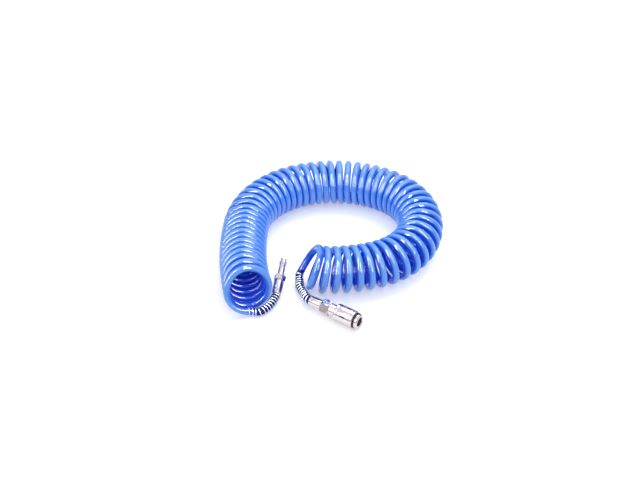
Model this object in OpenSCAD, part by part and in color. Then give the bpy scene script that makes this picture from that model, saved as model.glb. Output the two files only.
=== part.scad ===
// Coiled air hose with a plug at one end and a quick coupler at the other.
// Millimetres, +Z up. The coil lies on the floor in a three-quarter loop, and
// the origin is on the floor under the middle of the whole hose.

/* [Hose] */
// Outer diameter of the hose
hose_od = 10; // [8:0.5:10]
// Bore of the hose, where it is pushed on a fitting
hose_id = 6.5; // [5:0.5:6.5]
// Outer diameter of the coil
coil_od = 66; // [60:1:66]

/* [Spring guards] */
// Thickness of the guard's wire
guard_wire = 1.3; // [0.8:0.1:1.6]
// Gap between the hose and the guard's wire
guard_gap = 0.3; // [0.3:0.1:0.5]
// Length of the guard behind the plug
plug_guard_len = 56; // [40:1:56]
// Curls of the guard behind the plug
plug_guard_curls = 12; // [8:1:13]
// Length of the guard behind the coupler
coupler_guard_len = 60; // [40:1:62]
// Curls of the guard behind the coupler
coupler_guard_curls = 12; // [8:1:13]

/* [Clamp nuts] */
// Outer diameter of both clamp nuts
nut_od = 14; // [13.5:0.5:16]
// Length of the plug's clamp nut
plug_nut_len = 21.7; // [18:0.1:24]
// Length of the coupler's clamp nut
coupler_nut_len = 19.7; // [18:0.1:24]
// Depth from the nut's rear face to the end of the hose
grip_len = 12; // [9:0.5:14]
// Diameter of the thread that the nut runs on
nut_thread_d = 11.2; // [11:0.1:11.8]
// Radial clearance of a thread
thread_clear = 0.1; // [0.05:0.05:0.2]
// Radial clearance round the hose in a nut
hose_clear = 0.25; // [0.1:0.05:0.4]
// Edge chamfer of turned pieces
edge = 0.6; // [0.2:0.1:0.8]

/* [Stems] */
// Length of the stem inside the hose
stem_len = 8; // [6:0.5:9]
// How much wider the stem is than the hose's bore
stem_stretch = 0.5; // [0.2:0.1:0.6]
// Air bore through both fittings
air_bore = 5; // [3.5:0.5:5]

/* [Plug] */
// Hexagon of the plug, across flats
plug_hex = 14; // [13.5:0.5:17]
// Length of the plug's hexagon
plug_hex_len = 8; // [6:0.5:12]
// Diameter of the plug's neck
neck_d = 9.4; // [9:0.1:9.8]
// Length of the plug's neck
neck_len = 18.8; // [14:0.1:22]
// How much narrower the locking collar is than the coupler's mouth
collar_play = 1; // [0.8:0.1:1.2]
// Length of the locking collar
collar_len = 2.6; // [2:0.1:3]
// Diameter of the plug's tip
tip_d = 8.4; // [8:0.1:9]
// Length of the plug's tip
tip_len = 5.6; // [4.5:0.1:6.5]

/* [Coupler body] */
// Hexagon of the coupler body, across flats
body_hex = 19; // [18:0.5:22]
// Length of the coupler's hexagon
body_hex_len = 12.5; // [10:0.5:14]
// Diameter of the barrel behind the sleeve
barrel_d = 17; // [16.5:0.1:17.4]
// Length of the barrel, from the hexagon to the spring
barrel_len = 14; // [12:0.5:16]
// Outer diameter of the body under the sleeve
body_d = 14.8; // [14.4:0.1:15]
// Wall of the body round the mouth
mouth_wall = 1.2; // [1.1:0.05:1.3]
// Length of the nose ring
nose_len = 4.8; // [3:0.1:8]
// Outer diameter of the nose ring
nose_d = 20.5; // [18:0.5:22]
// Diameter of the thread between the tail piece and the body
tail_thread_d = 13.6; // [13.2:0.1:13.8]
// Length of the thread between the tail piece and the body
tail_thread_len = 13; // [10:0.5:13.5]
// Outer diameter of the retaining ring
ring_d = 21.8; // [21:0.1:23]
// Thickness of the retaining ring
ring_t = 2; // [1:0.1:2.2]

/* [Sleeve and lock] */
// Outer diameter of the release sleeve
sleeve_od = 24.5; // [23.5:0.5:27]
// Length of the release sleeve
sleeve_len = 29; // [28:0.5:31]
// How far the sleeve slides back
sleeve_travel = 4.5; // [3.5:0.5:4.5]
// How far each locking ball moves outwards
ball_travel = 1; // [0.9:0.05:1.1]
// Diameter of a locking ball
ball_d = 3.5; // [3.2:0.1:3.6]
// Sliding clearance of sleeve, balls and poppet
slide_clear = 0.07; // [0.05:0.01:0.1]
// Wire of the sleeve's spring
sleeve_wire = 0.7; // [0.5:0.1:0.8]
// Curls of the sleeve's spring
sleeve_curls = 6; // [4:1:6]

/* [Valve] */
// Diameter of the valve chamber
chamber_d = 13; // [12.6:0.1:13.2]
// Diameter of the poppet's head
poppet_d = 11.6; // [11:0.1:11.8]
// Diameter of the poppet's nose
poppet_nose_d = 5.8; // [5:0.1:6.4]
// How far the plug pushes the poppet back
poppet_travel = 4; // [3:0.5:4]
// Wire of the valve spring
valve_wire = 0.6; // [0.4:0.1:0.6]
// Mean diameter of the valve spring
valve_spring_d = 7.6; // [7:0.1:8]
// Curls of the valve spring
valve_curls = 6; // [4:1:6]
// Section of the rubber rings
seal_d = 1.6; // [1.4:0.1:1.7]

/* [Hidden] */
$fn = 64;

// A curl has 8 rings and a hose cross-section 6 sides
rings = 8;
sides = 6;
tube_sides = 12;
// The tube is cut flat by this much where it lies on the floor
foot_cut = hose_od / 10;
mean_r = (coil_od - hose_od) / 2;
axis_z = coil_od / 2 - foot_cut;

// Route of the coil's axis on the floor, bending to the right all the way.
// radius, sweep, turns, lean in and out, lift in and out, swell in and out
BENDS = [
  [480, 1.5, 0.75, 8, 7.8, 6, 1, 1.5, 0.6],
  [480, 2.35, 1.25, 7.8, 8.5, 1, 0, 0.6, 0],
  [480, 14.65, 10.2, 8.5, 0, 0, 0, 0, 0],
  [120, 66, 10.1, 0, 0, 0, 0, 0, 0],
  [142, 50, 9.5, 0, 0, 0, 0, 0, 0],
  [101, 127.3, 15.2, 0, 0.5, 0, 0, 0, 0],
  [196, 23, 5.5, 0.5, -8, 0, 1, 0, 0],
  [184, 4, 1, -8, -11, 1, 7, 0, -3],
  [184, 2.4, 0.375, -11, -11, 7, 8, -3, -3]];
route_start = [-113.5, -128];
route_heading = 103.5;
// The hose leaves the first turn a little before its lowest point
start_turn = 10 / 360;
end_turn = 53.875;

// Fittings: rear face of the clamp nut, heading and elevation
plug_at = [-79, -102.5, 9];
plug_heading = 79;
plug_lift = 22;
coupler_at = [-32.3, -117.5, sleeve_od / 2];
coupler_heading = -34.5;
// Points that the hose passes between the coil and each fitting
PLUG_ROUTE = [[-98, -134, 7], [-87.5, -122.5, 7.3], [-82, -111, 8.2]];
COUPLER_ROUTE = [[-47.6, -73.5, 9.4], [-46.6, -86, 8.4], [-41, -100.5, 9.6]];

// Straight end of each guard's wire
guard_run = 2.2 * guard_wire;
// Block that cuts the coil flat where it lies
ground_w = 500;
ground_t = 20;

// The mouth, the groove of the retaining ring, and the collar that enters the mouth
mouth_d = body_d - 2 * mouth_wall;
mouth_bevel = mouth_wall - 0.2;
ring_groove = mouth_wall / 2 - 0.1;
collar_d = mouth_d - collar_play;

// Lengths along the coupler, from the clamp nut's rear face
flange_z = coupler_nut_len + 0.3;
hex_z = flange_z + 0.5;
barrel_z = hex_z + body_hex_len;
shoulder_z = barrel_z + barrel_len;
tail_front_z = hex_z + tail_thread_len;
sleeve_z = shoulder_z - sleeve_travel + 0.5;
sleeve_front_z = sleeve_z + sleeve_len;
spring_room = 10;
land_z = shoulder_z + spring_room;
ball_z = land_z + 4.7;
ring_z = sleeve_front_z + 0.2;
nose_z = ring_z + ring_t + 0.2;
mouth_z = nose_z + nose_len;
// Collar seat, plug seal and valve seat
collar_z = ball_z - ball_d / 2 - collar_len - 0.55;
seat_z = collar_z - tip_len - 0.2;
seal_groove = seal_d + 1;
plug_seal_z = (seat_z + collar_z) / 2;
tip_bore = tip_d + 0.3;
seal_bore = tip_d + 2 * seal_d + 0.4;
collar_bore = collar_d + 0.4;
// Locking balls: centre radius when locked, and the cone that holds them
ball_r = neck_d / 2 + ball_d / 2 + 0.1;
ramp = atan(ball_travel / sleeve_travel);
cone_r = ball_r + (ball_d / 2 + slide_clear) / cos(ramp);
cone_back = 2.2;
cone_front = 7;
land_r = body_d / 2 + slide_clear;
cone_end_r = cone_r + cone_front * tan(ramp);
spring_room_r = 9.6;
// Plug lengths
plug_hex_z = plug_nut_len + 0.3;
neck_z = plug_hex_z + plug_hex_len;
plug_collar_z = neck_z + neck_len;
tip_z = plug_collar_z + collar_len;
plug_end = tip_z + tip_len;
stem_z = grip_len - stem_len;
stem_d = hose_id + stem_stretch;

function unit(v) = v / norm(v);
function mix(a, b, t) = a + (b - a) * t;
function right(a) = [sin(a), -cos(a), 0];
function ahead(a) = [cos(a), sin(a), 0];

// Start of each bend: turns so far, point and heading
function bend_centre(s, b) = s[1] + b[0] * [sin(s[2]), -cos(s[2])];
function bend_point(c, b, a) = c + b[0] * [-sin(a), cos(a)];
function chain(i) = i == 0 ? [0, route_start, route_heading] :
  let (s = chain(i - 1), b = BENDS[i - 1], a = s[2] - b[1])
  [s[0] + b[2], bend_point(bend_centre(s, b), b, a), a];
STARTS = [for (i = [0 : len(BENDS) - 1]) chain(i)];
function bend_of(n) = max([for (i = [0 : len(BENDS) - 1])
  if (n >= STARTS[i][0] - 0.0001) i]);

// Centre of the hose at turn n, and its direction away from the coil's axis
function turn_dir(n, a) = let (f = 180 + 360 * n) cos(f) * [0, 0, 1] + sin(f) * right(a);
function turn(n) = let (i = bend_of(n), b = BENDS[i], s = STARTS[i])
  let (u = (n - s[0]) / b[2], a = s[2] - b[1] * u)
  let (p = bend_point(bend_centre(s, b), b, a), d = turn_dir(n, a))
  let (lean = mix(b[3], b[4], u) * cos(180 + 360 * n))
  [[p[0], p[1], axis_z + mix(b[5], b[6], u)]
    + (mean_r + mix(b[7], b[8], u)) * d + lean * ahead(a), d];
function turn_way(n, step) = unit(turn(n + step)[0] - turn(n)[0]);

COIL = [for (k = [0 : floor(end_turn * rings)]) turn(max(start_turn, k / rings))];
start_way = -turn_way(start_turn, 0.002);
end_way = -turn_way(end_turn, -0.002);
start_stub = turn(start_turn)[0] + hose_od * start_way;
end_stub = turn(end_turn)[0] + hose_od * end_way;

// Rounds a route through points, leaving and arriving along given directions
function slope(p, i, w0, w1) = i == 0 ? w0 * norm(p[1] - p[0]) :
  i == len(p) - 1 ? w1 * norm(p[i] - p[i - 1]) : (p[i + 1] - p[i - 1]) / 2;
function curve(p, q, m, n, t) = (2 * t ^ 3 - 3 * t ^ 2 + 1) * p
  + (t ^ 3 - 2 * t ^ 2 + t) * m + (3 * t ^ 2 - 2 * t ^ 3) * q + (t ^ 3 - t ^ 2) * n;
function rounded(p, w0, w1, steps) = concat(
  [for (i = [0 : len(p) - 2], k = [0 : steps - 1])
    curve(p[i], p[i + 1], slope(p, i, w0, w1), slope(p, i + 1, w0, w1), k / steps)],
  [p[len(p) - 1]]);
function way(heading, lift) =
  [cos(lift) * cos(heading), cos(lift) * sin(heading), sin(lift)];

// Routes of the two tails, from the coil to the clamp nut's rear face
plug_way = way(plug_heading, plug_lift);
coupler_way = way(coupler_heading, 0);
function plug_tail(steps) =
  rounded(concat([start_stub], PLUG_ROUTE, [plug_at]), start_way, plug_way, steps);
function coupler_tail(steps) =
  rounded(concat([end_stub], COUPLER_ROUTE, [coupler_at]), end_way, coupler_way, steps);

// Arc lengths of a route, and the point and direction at one length
function lengths(p) = [for (i = 0, s = 0; i < len(p);
  s = s + (i < len(p) - 1 ? norm(p[i + 1] - p[i]) : 0), i = i + 1) s];
function place(p, s, x, i = 0) = i >= len(p) - 2 || x <= s[i + 1] ?
  mix(p[i], p[i + 1], (x - s[i]) / (s[i + 1] - s[i])) : place(p, s, x, i + 1);
function ways(p) = [for (i = [0 : len(p) - 1])
  unit(p[min(i + 1, len(p) - 1)] - p[max(i - 1, 0)])];
function square(v, t) = unit(v - (v * t) * t);
// Directions square to a route that turn with it
function carry(t, v) = [for (i = 0, a = square(v, t[0]); i < len(t);
  i = i + 1, a = i < len(t) ? square(a, t[i]) : a) a];

// A tube swept through points: p centres, t directions, v sideways directions
module tube(p, t, v, r, n) {
  m = len(p);
  points = [for (i = [0 : m - 1]) let (a = square(v[i], t[i]), b = cross(t[i], a))
    for (k = [0 : n - 1]) p[i] + r * (cos(360 * k / n) * a + sin(360 * k / n) * b)];
  walls = [for (i = [0 : m - 2], k = [0 : n - 1])
    let (a = i * n + k, b = i * n + (k + 1) % n)
    each [[a, b + n, b], [a, a + n, b + n]]];
  first = [for (k = [1 : n - 2]) [0, k, k + 1]];
  last = [for (k = [1 : n - 2]) [(m - 1) * n, (m - 1) * n + k + 1, (m - 1) * n + k]];
  polyhedron(points, concat(walls, first, last));
}

// Least gap of a wound tube to itself, measured from turn to turn
function self_gap(p, d, skip) = min([for (i = [0 : len(p) - 1])
  for (j = [i + skip : min(i + 3 * skip, len(p) - 1)]) norm(p[i] - p[j])]) - d;

// Radius on which the corners of an 8-sided curl lie, so that its mean is true
function curl_r(r) = r * (1 + 1 / cos(180 / rings)) / 2;

// Wire guard wound round a hose's route, with its end run straight to the nut
module guard(route, curls, length, nut_way) {
  s = lengths(route);
  total = s[len(s) - 1];
  n = curls * rings;
  reach = length - guard_run;
  centre = [for (k = [0 : n]) place(route, s, total - length + reach * k / n)];
  way_in = ways(centre);
  side = carry(way_in, [0, 0, 1]);
  r = curl_r(hose_od / 2 + guard_gap + guard_wire / 2);
  out = [for (k = [0 : n]) let (f = 360 * k / rings)
    cos(f) * side[k] + sin(f) * cross(way_in[k], side[k])];
  wire = [for (k = [0 : n]) centre[k] + r * out[k]];
  run = (route[len(route) - 1] - wire[n]) * nut_way - 0.05;
  points = concat(wire, [wire[n] + run * nut_way]);
  along = ways(points);
  turned = [for (i = [0 : n + 1]) i == n + 1 ? nut_way : along[i]];
  outs = concat(out, [out[n]]);
  echo(guard_self_gap = self_gap(wire, guard_wire, rings - 2));
  tube(points, turned, outs, guard_wire / 2, sides);
}

// Compression spring along Z with both ends run straight along Z
module spring(z0, z1, r, wire, curls) {
  n = curls * rings;
  wound = [for (k = [0 : n]) let (f = 360 * k / rings)
    [r * cos(f), r * sin(f), mix(z0 + wire, z1 - wire, k / n)]];
  points = concat([[r, 0, z0]], wound, [[r, 0, z1]]);
  along = ways(points);
  turned = [for (i = [0 : n + 2]) i == 0 || i == n + 2 ? [0, 0, 1] : along[i]];
  out = [for (i = [0 : n + 2]) let (f = 360 * (i - 1) / rings)
    i == 0 || i == n + 2 ? [1, 0, 0] : [cos(f), sin(f), 0]];
  echo(spring_self_gap = self_gap(wound, wire, rings - 2));
  tube(points, turned, out, wire / 2, sides);
}

// Frames of the two fittings: Z runs from the hose towards the open end
module on_plug() {
  translate(plug_at)
    rotate([0, 90 - plug_lift, plug_heading])
      children();
}
module on_coupler() {
  translate(coupler_at)
    rotate([0, 90, coupler_heading])
      children();
}

// Turned ring between two radii, with chamfered outer edges
module turned(r0, r1, z0, z1, c0 = 0, c1 = 0) {
  rotate_extrude()
    polygon([[r0, z0], [r1 - c0, z0], [r1, z0 + c0], [r1, z1 - c1], [r1 - c1, z1], [r0, z1]]);
}

// Hexagon with its corners turned off at both ends
module hexagon(across, z0, z1) {
  corner = across / 2 / cos(30);
  cut = (corner - across / 2) * 0.9;
  intersection() {
    translate([0, 0, z0])
      cylinder(r = corner, h = z1 - z0, $fn = 6);
    rotate_extrude()
      polygon([[0, z0], [corner - cut, z0], [corner + 0.1, z0 + (cut + 0.1) * 0.58],
        [corner + 0.1, z1 - (cut + 0.1) * 0.58], [corner - cut, z1], [0, z1]]);
  }
}

module hose_coil() {
  p = concat([start_stub], [for (c = COIL) c[0]], [end_stub]);
  m = len(p);
  t = [for (i = [0 : m - 1]) i < 2 ? -start_way : i > m - 3 ? end_way :
    unit(p[i + 1] - p[i - 1])];
  v = concat([COIL[0][1]], [for (c = COIL) c[1]], [COIL[len(COIL) - 1][1]]);
  echo(coil_self_gap = self_gap([for (c = COIL) c[0]], hose_od, rings - 1));
  echo(coil_turns = end_turn - start_turn, rings_used = m);
  color("#5E93E6")
    difference() {
      tube(p, t, v, hose_od / 2, sides);
      translate([-ground_w / 2, -ground_w / 2, -ground_t])
        cube([ground_w, ground_w, ground_t]);
    }
}

// Free end of the hose, with its bore where the stem is pushed in
module hose_tail(route, start_dir, end_dir) {
  n = len(route) - 1;
  p = concat(route, [route[n] + grip_len * end_dir]);
  t0 = ways(p);
  t = [for (i = [0 : n + 1]) i == 0 ? start_dir : i >= n ? end_dir : t0[i]];
  tube(p, t, carry(t, [0, 0, 1]), hose_od / 2, tube_sides);
}

module stem_socket() {
  translate([0, 0, stem_z - 0.3])
    cylinder(d = stem_d + 0.1, h = stem_len + 1);
}

module hose_tail_plug() {
  color("#5E93E6")
    difference() {
      hose_tail(plug_tail(5), start_way, plug_way);
      on_plug() stem_socket();
    }
}

module hose_tail_coupler() {
  color("#5E93E6")
    difference() {
      hose_tail(coupler_tail(5), end_way, coupler_way);
      on_coupler() stem_socket();
    }
}

module plug_spring_guard() {
  color("#C9CDD2")
    guard(concat([turn(start_turn)[0]], plug_tail(12)), plug_guard_curls, plug_guard_len,
      plug_way);
}

module coupler_spring_guard() {
  color("#C9CDD2")
    guard(concat([turn(end_turn)[0]], coupler_tail(12)), coupler_guard_curls,
      coupler_guard_len, coupler_way);
}

module clamp_nut(length) {
  difference() {
    turned(0, nut_od / 2, 0, length, edge, edge);
    translate([0, 0, -1])
      cylinder(r = hose_od / 2 + hose_clear, h = grip_len + 1);
    translate([0, 0, grip_len - 0.01])
      cylinder(r = nut_thread_d / 2 + thread_clear, h = length);
  }
}

module plug_clamp_nut() {
  color("#C8C6C0")
    on_plug() clamp_nut(plug_nut_len);
}

module coupler_clamp_nut() {
  color("#C8C6C0")
    on_coupler() clamp_nut(coupler_nut_len);
}

// Stem with two shallow barbs, followed by the nut's thread
module stem(thread_end) {
  barb = stem_d / 2;
  rotate_extrude()
    polygon([[0, stem_z], [barb - 0.5, stem_z], [barb, stem_z + stem_len * 0.45],
      [barb - 0.3, stem_z + stem_len * 0.5], [barb, stem_z + stem_len * 0.95],
      [barb, grip_len], [nut_thread_d / 2, grip_len],
      [nut_thread_d / 2, thread_end], [0, thread_end]]);
}

module plug_body() {
  color("#C8C6C0")
    on_plug()
      difference() {
        union() {
          stem(plug_hex_z + 0.01);
          hexagon(plug_hex, plug_hex_z, neck_z);
          rotate_extrude()
            polygon([[0, neck_z - 0.01], [neck_d / 2, neck_z - 0.01],
              [neck_d / 2, plug_collar_z], [collar_d / 2 - 0.3, plug_collar_z],
              [collar_d / 2, plug_collar_z + 0.3], [collar_d / 2, tip_z - 0.4],
              [collar_d / 2 - 0.4, tip_z], [tip_d / 2, tip_z],
              [tip_d / 2, plug_end - edge], [tip_d / 2 - edge, plug_end], [0, plug_end]]);
        }
        translate([0, 0, stem_z - 1])
          cylinder(d = air_bore, h = plug_end - stem_z + 2);
      }
}

module coupler_tail_piece() {
  color("#B9B7B1")
    on_coupler()
      difference() {
        union() {
          stem(flange_z + 0.01);
          turned(0, nut_od / 2 + 0.6, flange_z, hex_z);
          difference() {
            turned(0, tail_thread_d / 2, hex_z - 0.01, tail_front_z, 0, 0.4);
            translate([0, 0, body_seal_z - seal_d / 2 - 0.2])
              difference() {
                cylinder(d = tail_thread_d + 2, h = seal_d + 0.4);
                translate([0, 0, -1])
                  cylinder(d = tail_thread_d - 2 * seal_d, h = seal_d + 3);
              }
          }
        }
        translate([0, 0, stem_z - 1])
          cylinder(d = air_bore, h = tail_front_z - stem_z + 2);
      }
}
body_seal_z = tail_front_z - 3;

module coupler_body() {
  color("#C8C6C0")
    on_coupler()
      difference() {
        union() {
          hexagon(body_hex, hex_z, barrel_z);
          turned(0, barrel_d / 2, barrel_z - 0.01, shoulder_z, 0, 0);
          turned(0, body_d / 2, shoulder_z - 0.01, mouth_z - 0.2);
        }
        // Thread of the tail piece and the valve chamber
        translate([0, 0, hex_z - 1])
          cylinder(r = tail_thread_d / 2 + thread_clear, h = tail_thread_len + 1.5);
        translate([0, 0, hex_z])
          cylinder(d = chamber_d, h = seat_z - hex_z);
        // Bores for the tip, the collar and the mouth
        translate([0, 0, hex_z])
          cylinder(d = tip_bore, h = collar_z - hex_z + 1);
        translate([0, 0, plug_seal_z - seal_groove / 2])
          cylinder(d = seal_bore, h = seal_groove);
        translate([0, 0, collar_z])
          cylinder(d = collar_bore, h = mouth_z - collar_z + 1);
        translate([0, 0, ball_z + ball_d / 2 + 1])
          cylinder(d = mouth_d, h = mouth_z);
        translate([0, 0, mouth_z - mouth_bevel])
          cylinder(d1 = mouth_d, d2 = mouth_d + 2 * mouth_bevel, h = mouth_bevel);
        // Groove of the retaining ring
        translate([0, 0, ring_z - 0.05])
          difference() {
            cylinder(d = body_d + 2, h = ring_t + 0.1);
            translate([0, 0, -1])
              cylinder(d = body_d - 2 * ring_groove, h = ring_t + 3);
          }
        // One hole for each locking ball
        for (k = [0 : 5])
          translate([0, 0, ball_z])
            rotate([0, 90, 60 * k + 30])
              cylinder(r = ball_d / 2 + slide_clear, h = barrel_d);
      }
}

module coupler_nose_ring() {
  color("#B9B7B1")
    on_coupler()
      difference() {
        turned(0, nose_d / 2, nose_z, mouth_z, edge, 0.9);
        translate([0, 0, nose_z - 1])
          cylinder(r = body_d / 2 + 0.02, h = nose_len + 2);
      }
}

module release_sleeve() {
  color("#D2CFC8")
    on_coupler()
      difference() {
        turned(0, sleeve_od / 2, sleeve_z, sleeve_front_z, 1, 1);
        // Bore that slides on the barrel
        translate([0, 0, sleeve_z - 1])
          cylinder(r = barrel_d / 2 + slide_clear, h = shoulder_z - sleeve_z + 1);
        // Room of the spring
        translate([0, 0, shoulder_z - 1])
          cylinder(r = spring_room_r, h = spring_room + 1);
        // Bore that slides on the body
        translate([0, 0, land_z - 1])
          cylinder(r = land_r, h = ball_z - land_z + 1);
        // Cone that holds the balls in
        translate([0, 0, ball_z - cone_back])
          cylinder(r1 = cone_r - cone_back * tan(ramp), r2 = cone_end_r,
            h = cone_back + cone_front);
        translate([0, 0, ball_z + cone_front - 0.01])
          cylinder(r = cone_end_r, h = sleeve_len);
        // Short alignment slot, halfway along
        rotate([0, 0, slot_angle])
          translate([sleeve_od / 2 - slot_depth, -slot_w / 2,
            (sleeve_z + sleeve_front_z - slot_len) / 2])
            cube([2, slot_w, slot_len]);
      }
}
slot_angle = -120;
slot_len = 8;
slot_w = 1.2;
slot_depth = 0.6;

module sleeve_spring() {
  color("#AEB2B8")
    on_coupler()
      spring(shoulder_z + 0.05, land_z - 0.05,
        (body_d / 2 + sleeve_wire / 2 + 0.1) / cos(180 / rings), sleeve_wire, sleeve_curls);
}

module sleeve_retaining_ring() {
  color("#3A3A3C")
    on_coupler()
      difference() {
        turned(0, ring_d / 2, ring_z, ring_z + ring_t, 0.3, 0.3);
        translate([0, 0, ring_z - 1])
          cylinder(r = body_d / 2 - 0.45, h = ring_t + 2);
      }
}

module locking_ball(k) {
  color("#D8DADC")
    on_coupler()
      rotate([0, 0, 60 * k + 30])
        translate([ball_r, 0, ball_z])
          sphere(d = ball_d);
}

module valve_poppet() {
  head_z = seat_z - 1.3;
  color("#C8A860")
    on_coupler()
      union() {
        translate([0, 0, head_z - 2])
          cylinder(d = poppet_d, h = 2);
        translate([0, 0, head_z - 0.01])
          cylinder(d = poppet_nose_d, h = seat_z + poppet_travel - head_z - 0.2);
        translate([0, 0, head_z - 10])
          cylinder(d = valve_spring_d - 3 * valve_wire - 2, h = 8.01);
        // Guide wings that slide in the chamber
        intersection() {
          for (a = [0, 90])
            rotate([0, 0, a])
              translate([-chamber_d / 2, -0.8, head_z - wing_len - 2])
                cube([chamber_d, 1.6, wing_len + 0.01]);
          translate([0, 0, head_z - wing_len - 2])
            cylinder(r = chamber_d / 2 - slide_clear, h = wing_len + 1);
        }
      }
}
wing_len = 4;

module poppet_seal() {
  color("#202022")
    on_coupler()
      difference() {
        turned(0, poppet_d / 2 - 0.1, seat_z - 1.3, seat_z - 0.1, 0, 0.2);
        translate([0, 0, seat_z - 3])
          cylinder(d = poppet_nose_d + 0.1, h = 4);
      }
}

module valve_spring() {
  color("#AEB2B8")
    on_coupler()
      spring(tail_front_z + 0.05, seat_z - 3.3 - wing_len - 0.05,
        curl_r(valve_spring_d / 2), valve_wire, valve_curls);
}

module plug_seal() {
  color("#202022")
    on_coupler()
      translate([0, 0, plug_seal_z])
        rotate_extrude()
          translate([tip_d / 2 + seal_d / 2 + 0.12, 0])
            circle(d = seal_d);
}

module body_seal() {
  color("#202022")
    on_coupler()
      translate([0, 0, body_seal_z])
        rotate_extrude()
          translate([tail_thread_d / 2 - seal_d / 2 + 0.05, 0])
            circle(d = seal_d);
}

hose_coil();
hose_tail_plug();
hose_tail_coupler();
plug_spring_guard();
coupler_spring_guard();
plug_clamp_nut();
coupler_clamp_nut();
plug_body();
coupler_tail_piece();
coupler_body();
coupler_nose_ring();
release_sleeve();
sleeve_spring();
sleeve_retaining_ring();
locking_ball(0);  // locking_ball_1
locking_ball(1);  // locking_ball_2
locking_ball(2);  // locking_ball_3
locking_ball(3);  // locking_ball_4
locking_ball(4);  // locking_ball_5
locking_ball(5);  // locking_ball_6
valve_poppet();
poppet_seal();
valve_spring();
plug_seal();
body_seal();
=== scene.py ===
"""Coiled air hose: looks for the hose, its wire guards, the plug and the quick coupler."""

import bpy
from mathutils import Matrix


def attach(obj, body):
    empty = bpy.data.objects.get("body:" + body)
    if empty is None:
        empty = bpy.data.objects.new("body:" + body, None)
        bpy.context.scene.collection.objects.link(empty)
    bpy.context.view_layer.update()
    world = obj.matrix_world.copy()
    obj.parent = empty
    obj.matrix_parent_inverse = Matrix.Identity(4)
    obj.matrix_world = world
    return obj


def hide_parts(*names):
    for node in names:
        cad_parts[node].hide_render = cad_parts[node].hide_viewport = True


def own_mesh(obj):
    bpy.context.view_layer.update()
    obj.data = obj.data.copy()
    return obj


bl_info = {
    "name": "Coiled Air Hose",
    "version": (1, 0, 0),
    "blender": (4, 5, 0),
    "location": "View3D > Sidebar > Air Hose",
    "description": "Builds a coiled air hose with a plug and a quick coupler",
    "category": "Add Mesh",
}

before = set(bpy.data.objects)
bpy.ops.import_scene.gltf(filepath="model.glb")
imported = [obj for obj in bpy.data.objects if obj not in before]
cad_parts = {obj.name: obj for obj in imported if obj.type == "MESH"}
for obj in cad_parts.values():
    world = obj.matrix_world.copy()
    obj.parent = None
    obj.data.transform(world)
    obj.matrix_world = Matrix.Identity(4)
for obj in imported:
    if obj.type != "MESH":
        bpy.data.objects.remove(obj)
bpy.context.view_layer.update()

import math

import bmesh
import bpy
from bpy.props import FloatProperty, FloatVectorProperty, IntProperty, PointerProperty
from mathutils import Matrix, Vector

ROOT = "hose_and_fittings"
MM = 0.001

# Collections that the gloss lamps are linked to, and the slots that take the strong pair
HOSE_GLOSS, METAL_GLOSS = "Hose gloss", "Metal gloss"
STRONG_GLOSS_SLOTS = ("hose_blue", "guard_wire")
# Edges sharper than this stay crisp, and corners flatter than the second aren't rounded
SHARP_EDGE, FLAT_CORNER = math.radians(28), math.radians(165)
# A hexagon's corners are turned off at 30 degrees
CORNER_SLOPE = 0.58
# The locking balls: how many, their place along the coupler and out from its axis (mm)
BALLS, BALL_Z, BALL_OUT = 6, 61.7, 6.55
# The sleeve's slot: its place round and along the coupler (degrees, mm)
SLOT_ANGLE, SLOT_Z = -120, 57.5
# Points along each tail over which its painted pale side fades, and how much painted shade a
# guard lays on it
FADE_POINTS, GUARD_SHADE = 16, 2.0
# How far the first and last turn are turned to the air past them, which gives their faces the
# painted pale side
END_TURN_OPEN = 2.5


def linear(hex_colour):
    """A colour written as sRGB hex, in linear light."""
    parts = [int(hex_colour[i : i + 2], 16) / 255 for i in (1, 3, 5)]
    return [c / 12.92 if c <= 0.04045 else ((c + 0.055) / 1.055) ** 2.4 for c in parts]


# ---------------------------------------------------------------- settings


def length(name, text, value, low=0.0001):
    return FloatProperty(name=name, description=text, default=value, min=low, unit="LENGTH")


def colour(name, text, hex_colour):
    return FloatVectorProperty(
        name=name, description=text, default=linear(hex_colour), size=3,
        min=0, max=1, subtype="COLOR",
    )


class HoseSizes(bpy.types.PropertyGroup):
    """Sizes of the hose and its wire guards."""

    hose: length("Hose", "Outer diameter of the hose", 0.010)
    coil: length("Coil", "Outer diameter of the coil", 0.066)
    steps: IntProperty(name="Steps", description="Rings in one turn", default=48, min=12)
    sides: IntProperty(name="Sides", description="Sides of the hose", default=20, min=8)
    wire: length("Guard wire", "Thickness of the guard's wire", 0.0013)
    gap: length("Guard gap", "Gap between hose and guard", 0.0003)
    plug_guard: length("Plug guard", "Length of the guard behind the plug", 0.056)
    coupler_guard: length("Coupler guard", "Length of the guard behind the coupler", 0.060)
    plug_curls: IntProperty(name="Plug curls", description="Curls of that guard", default=12)
    coupler_curls: IntProperty(
        name="Coupler curls", description="Curls of that guard", default=12
    )


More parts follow.
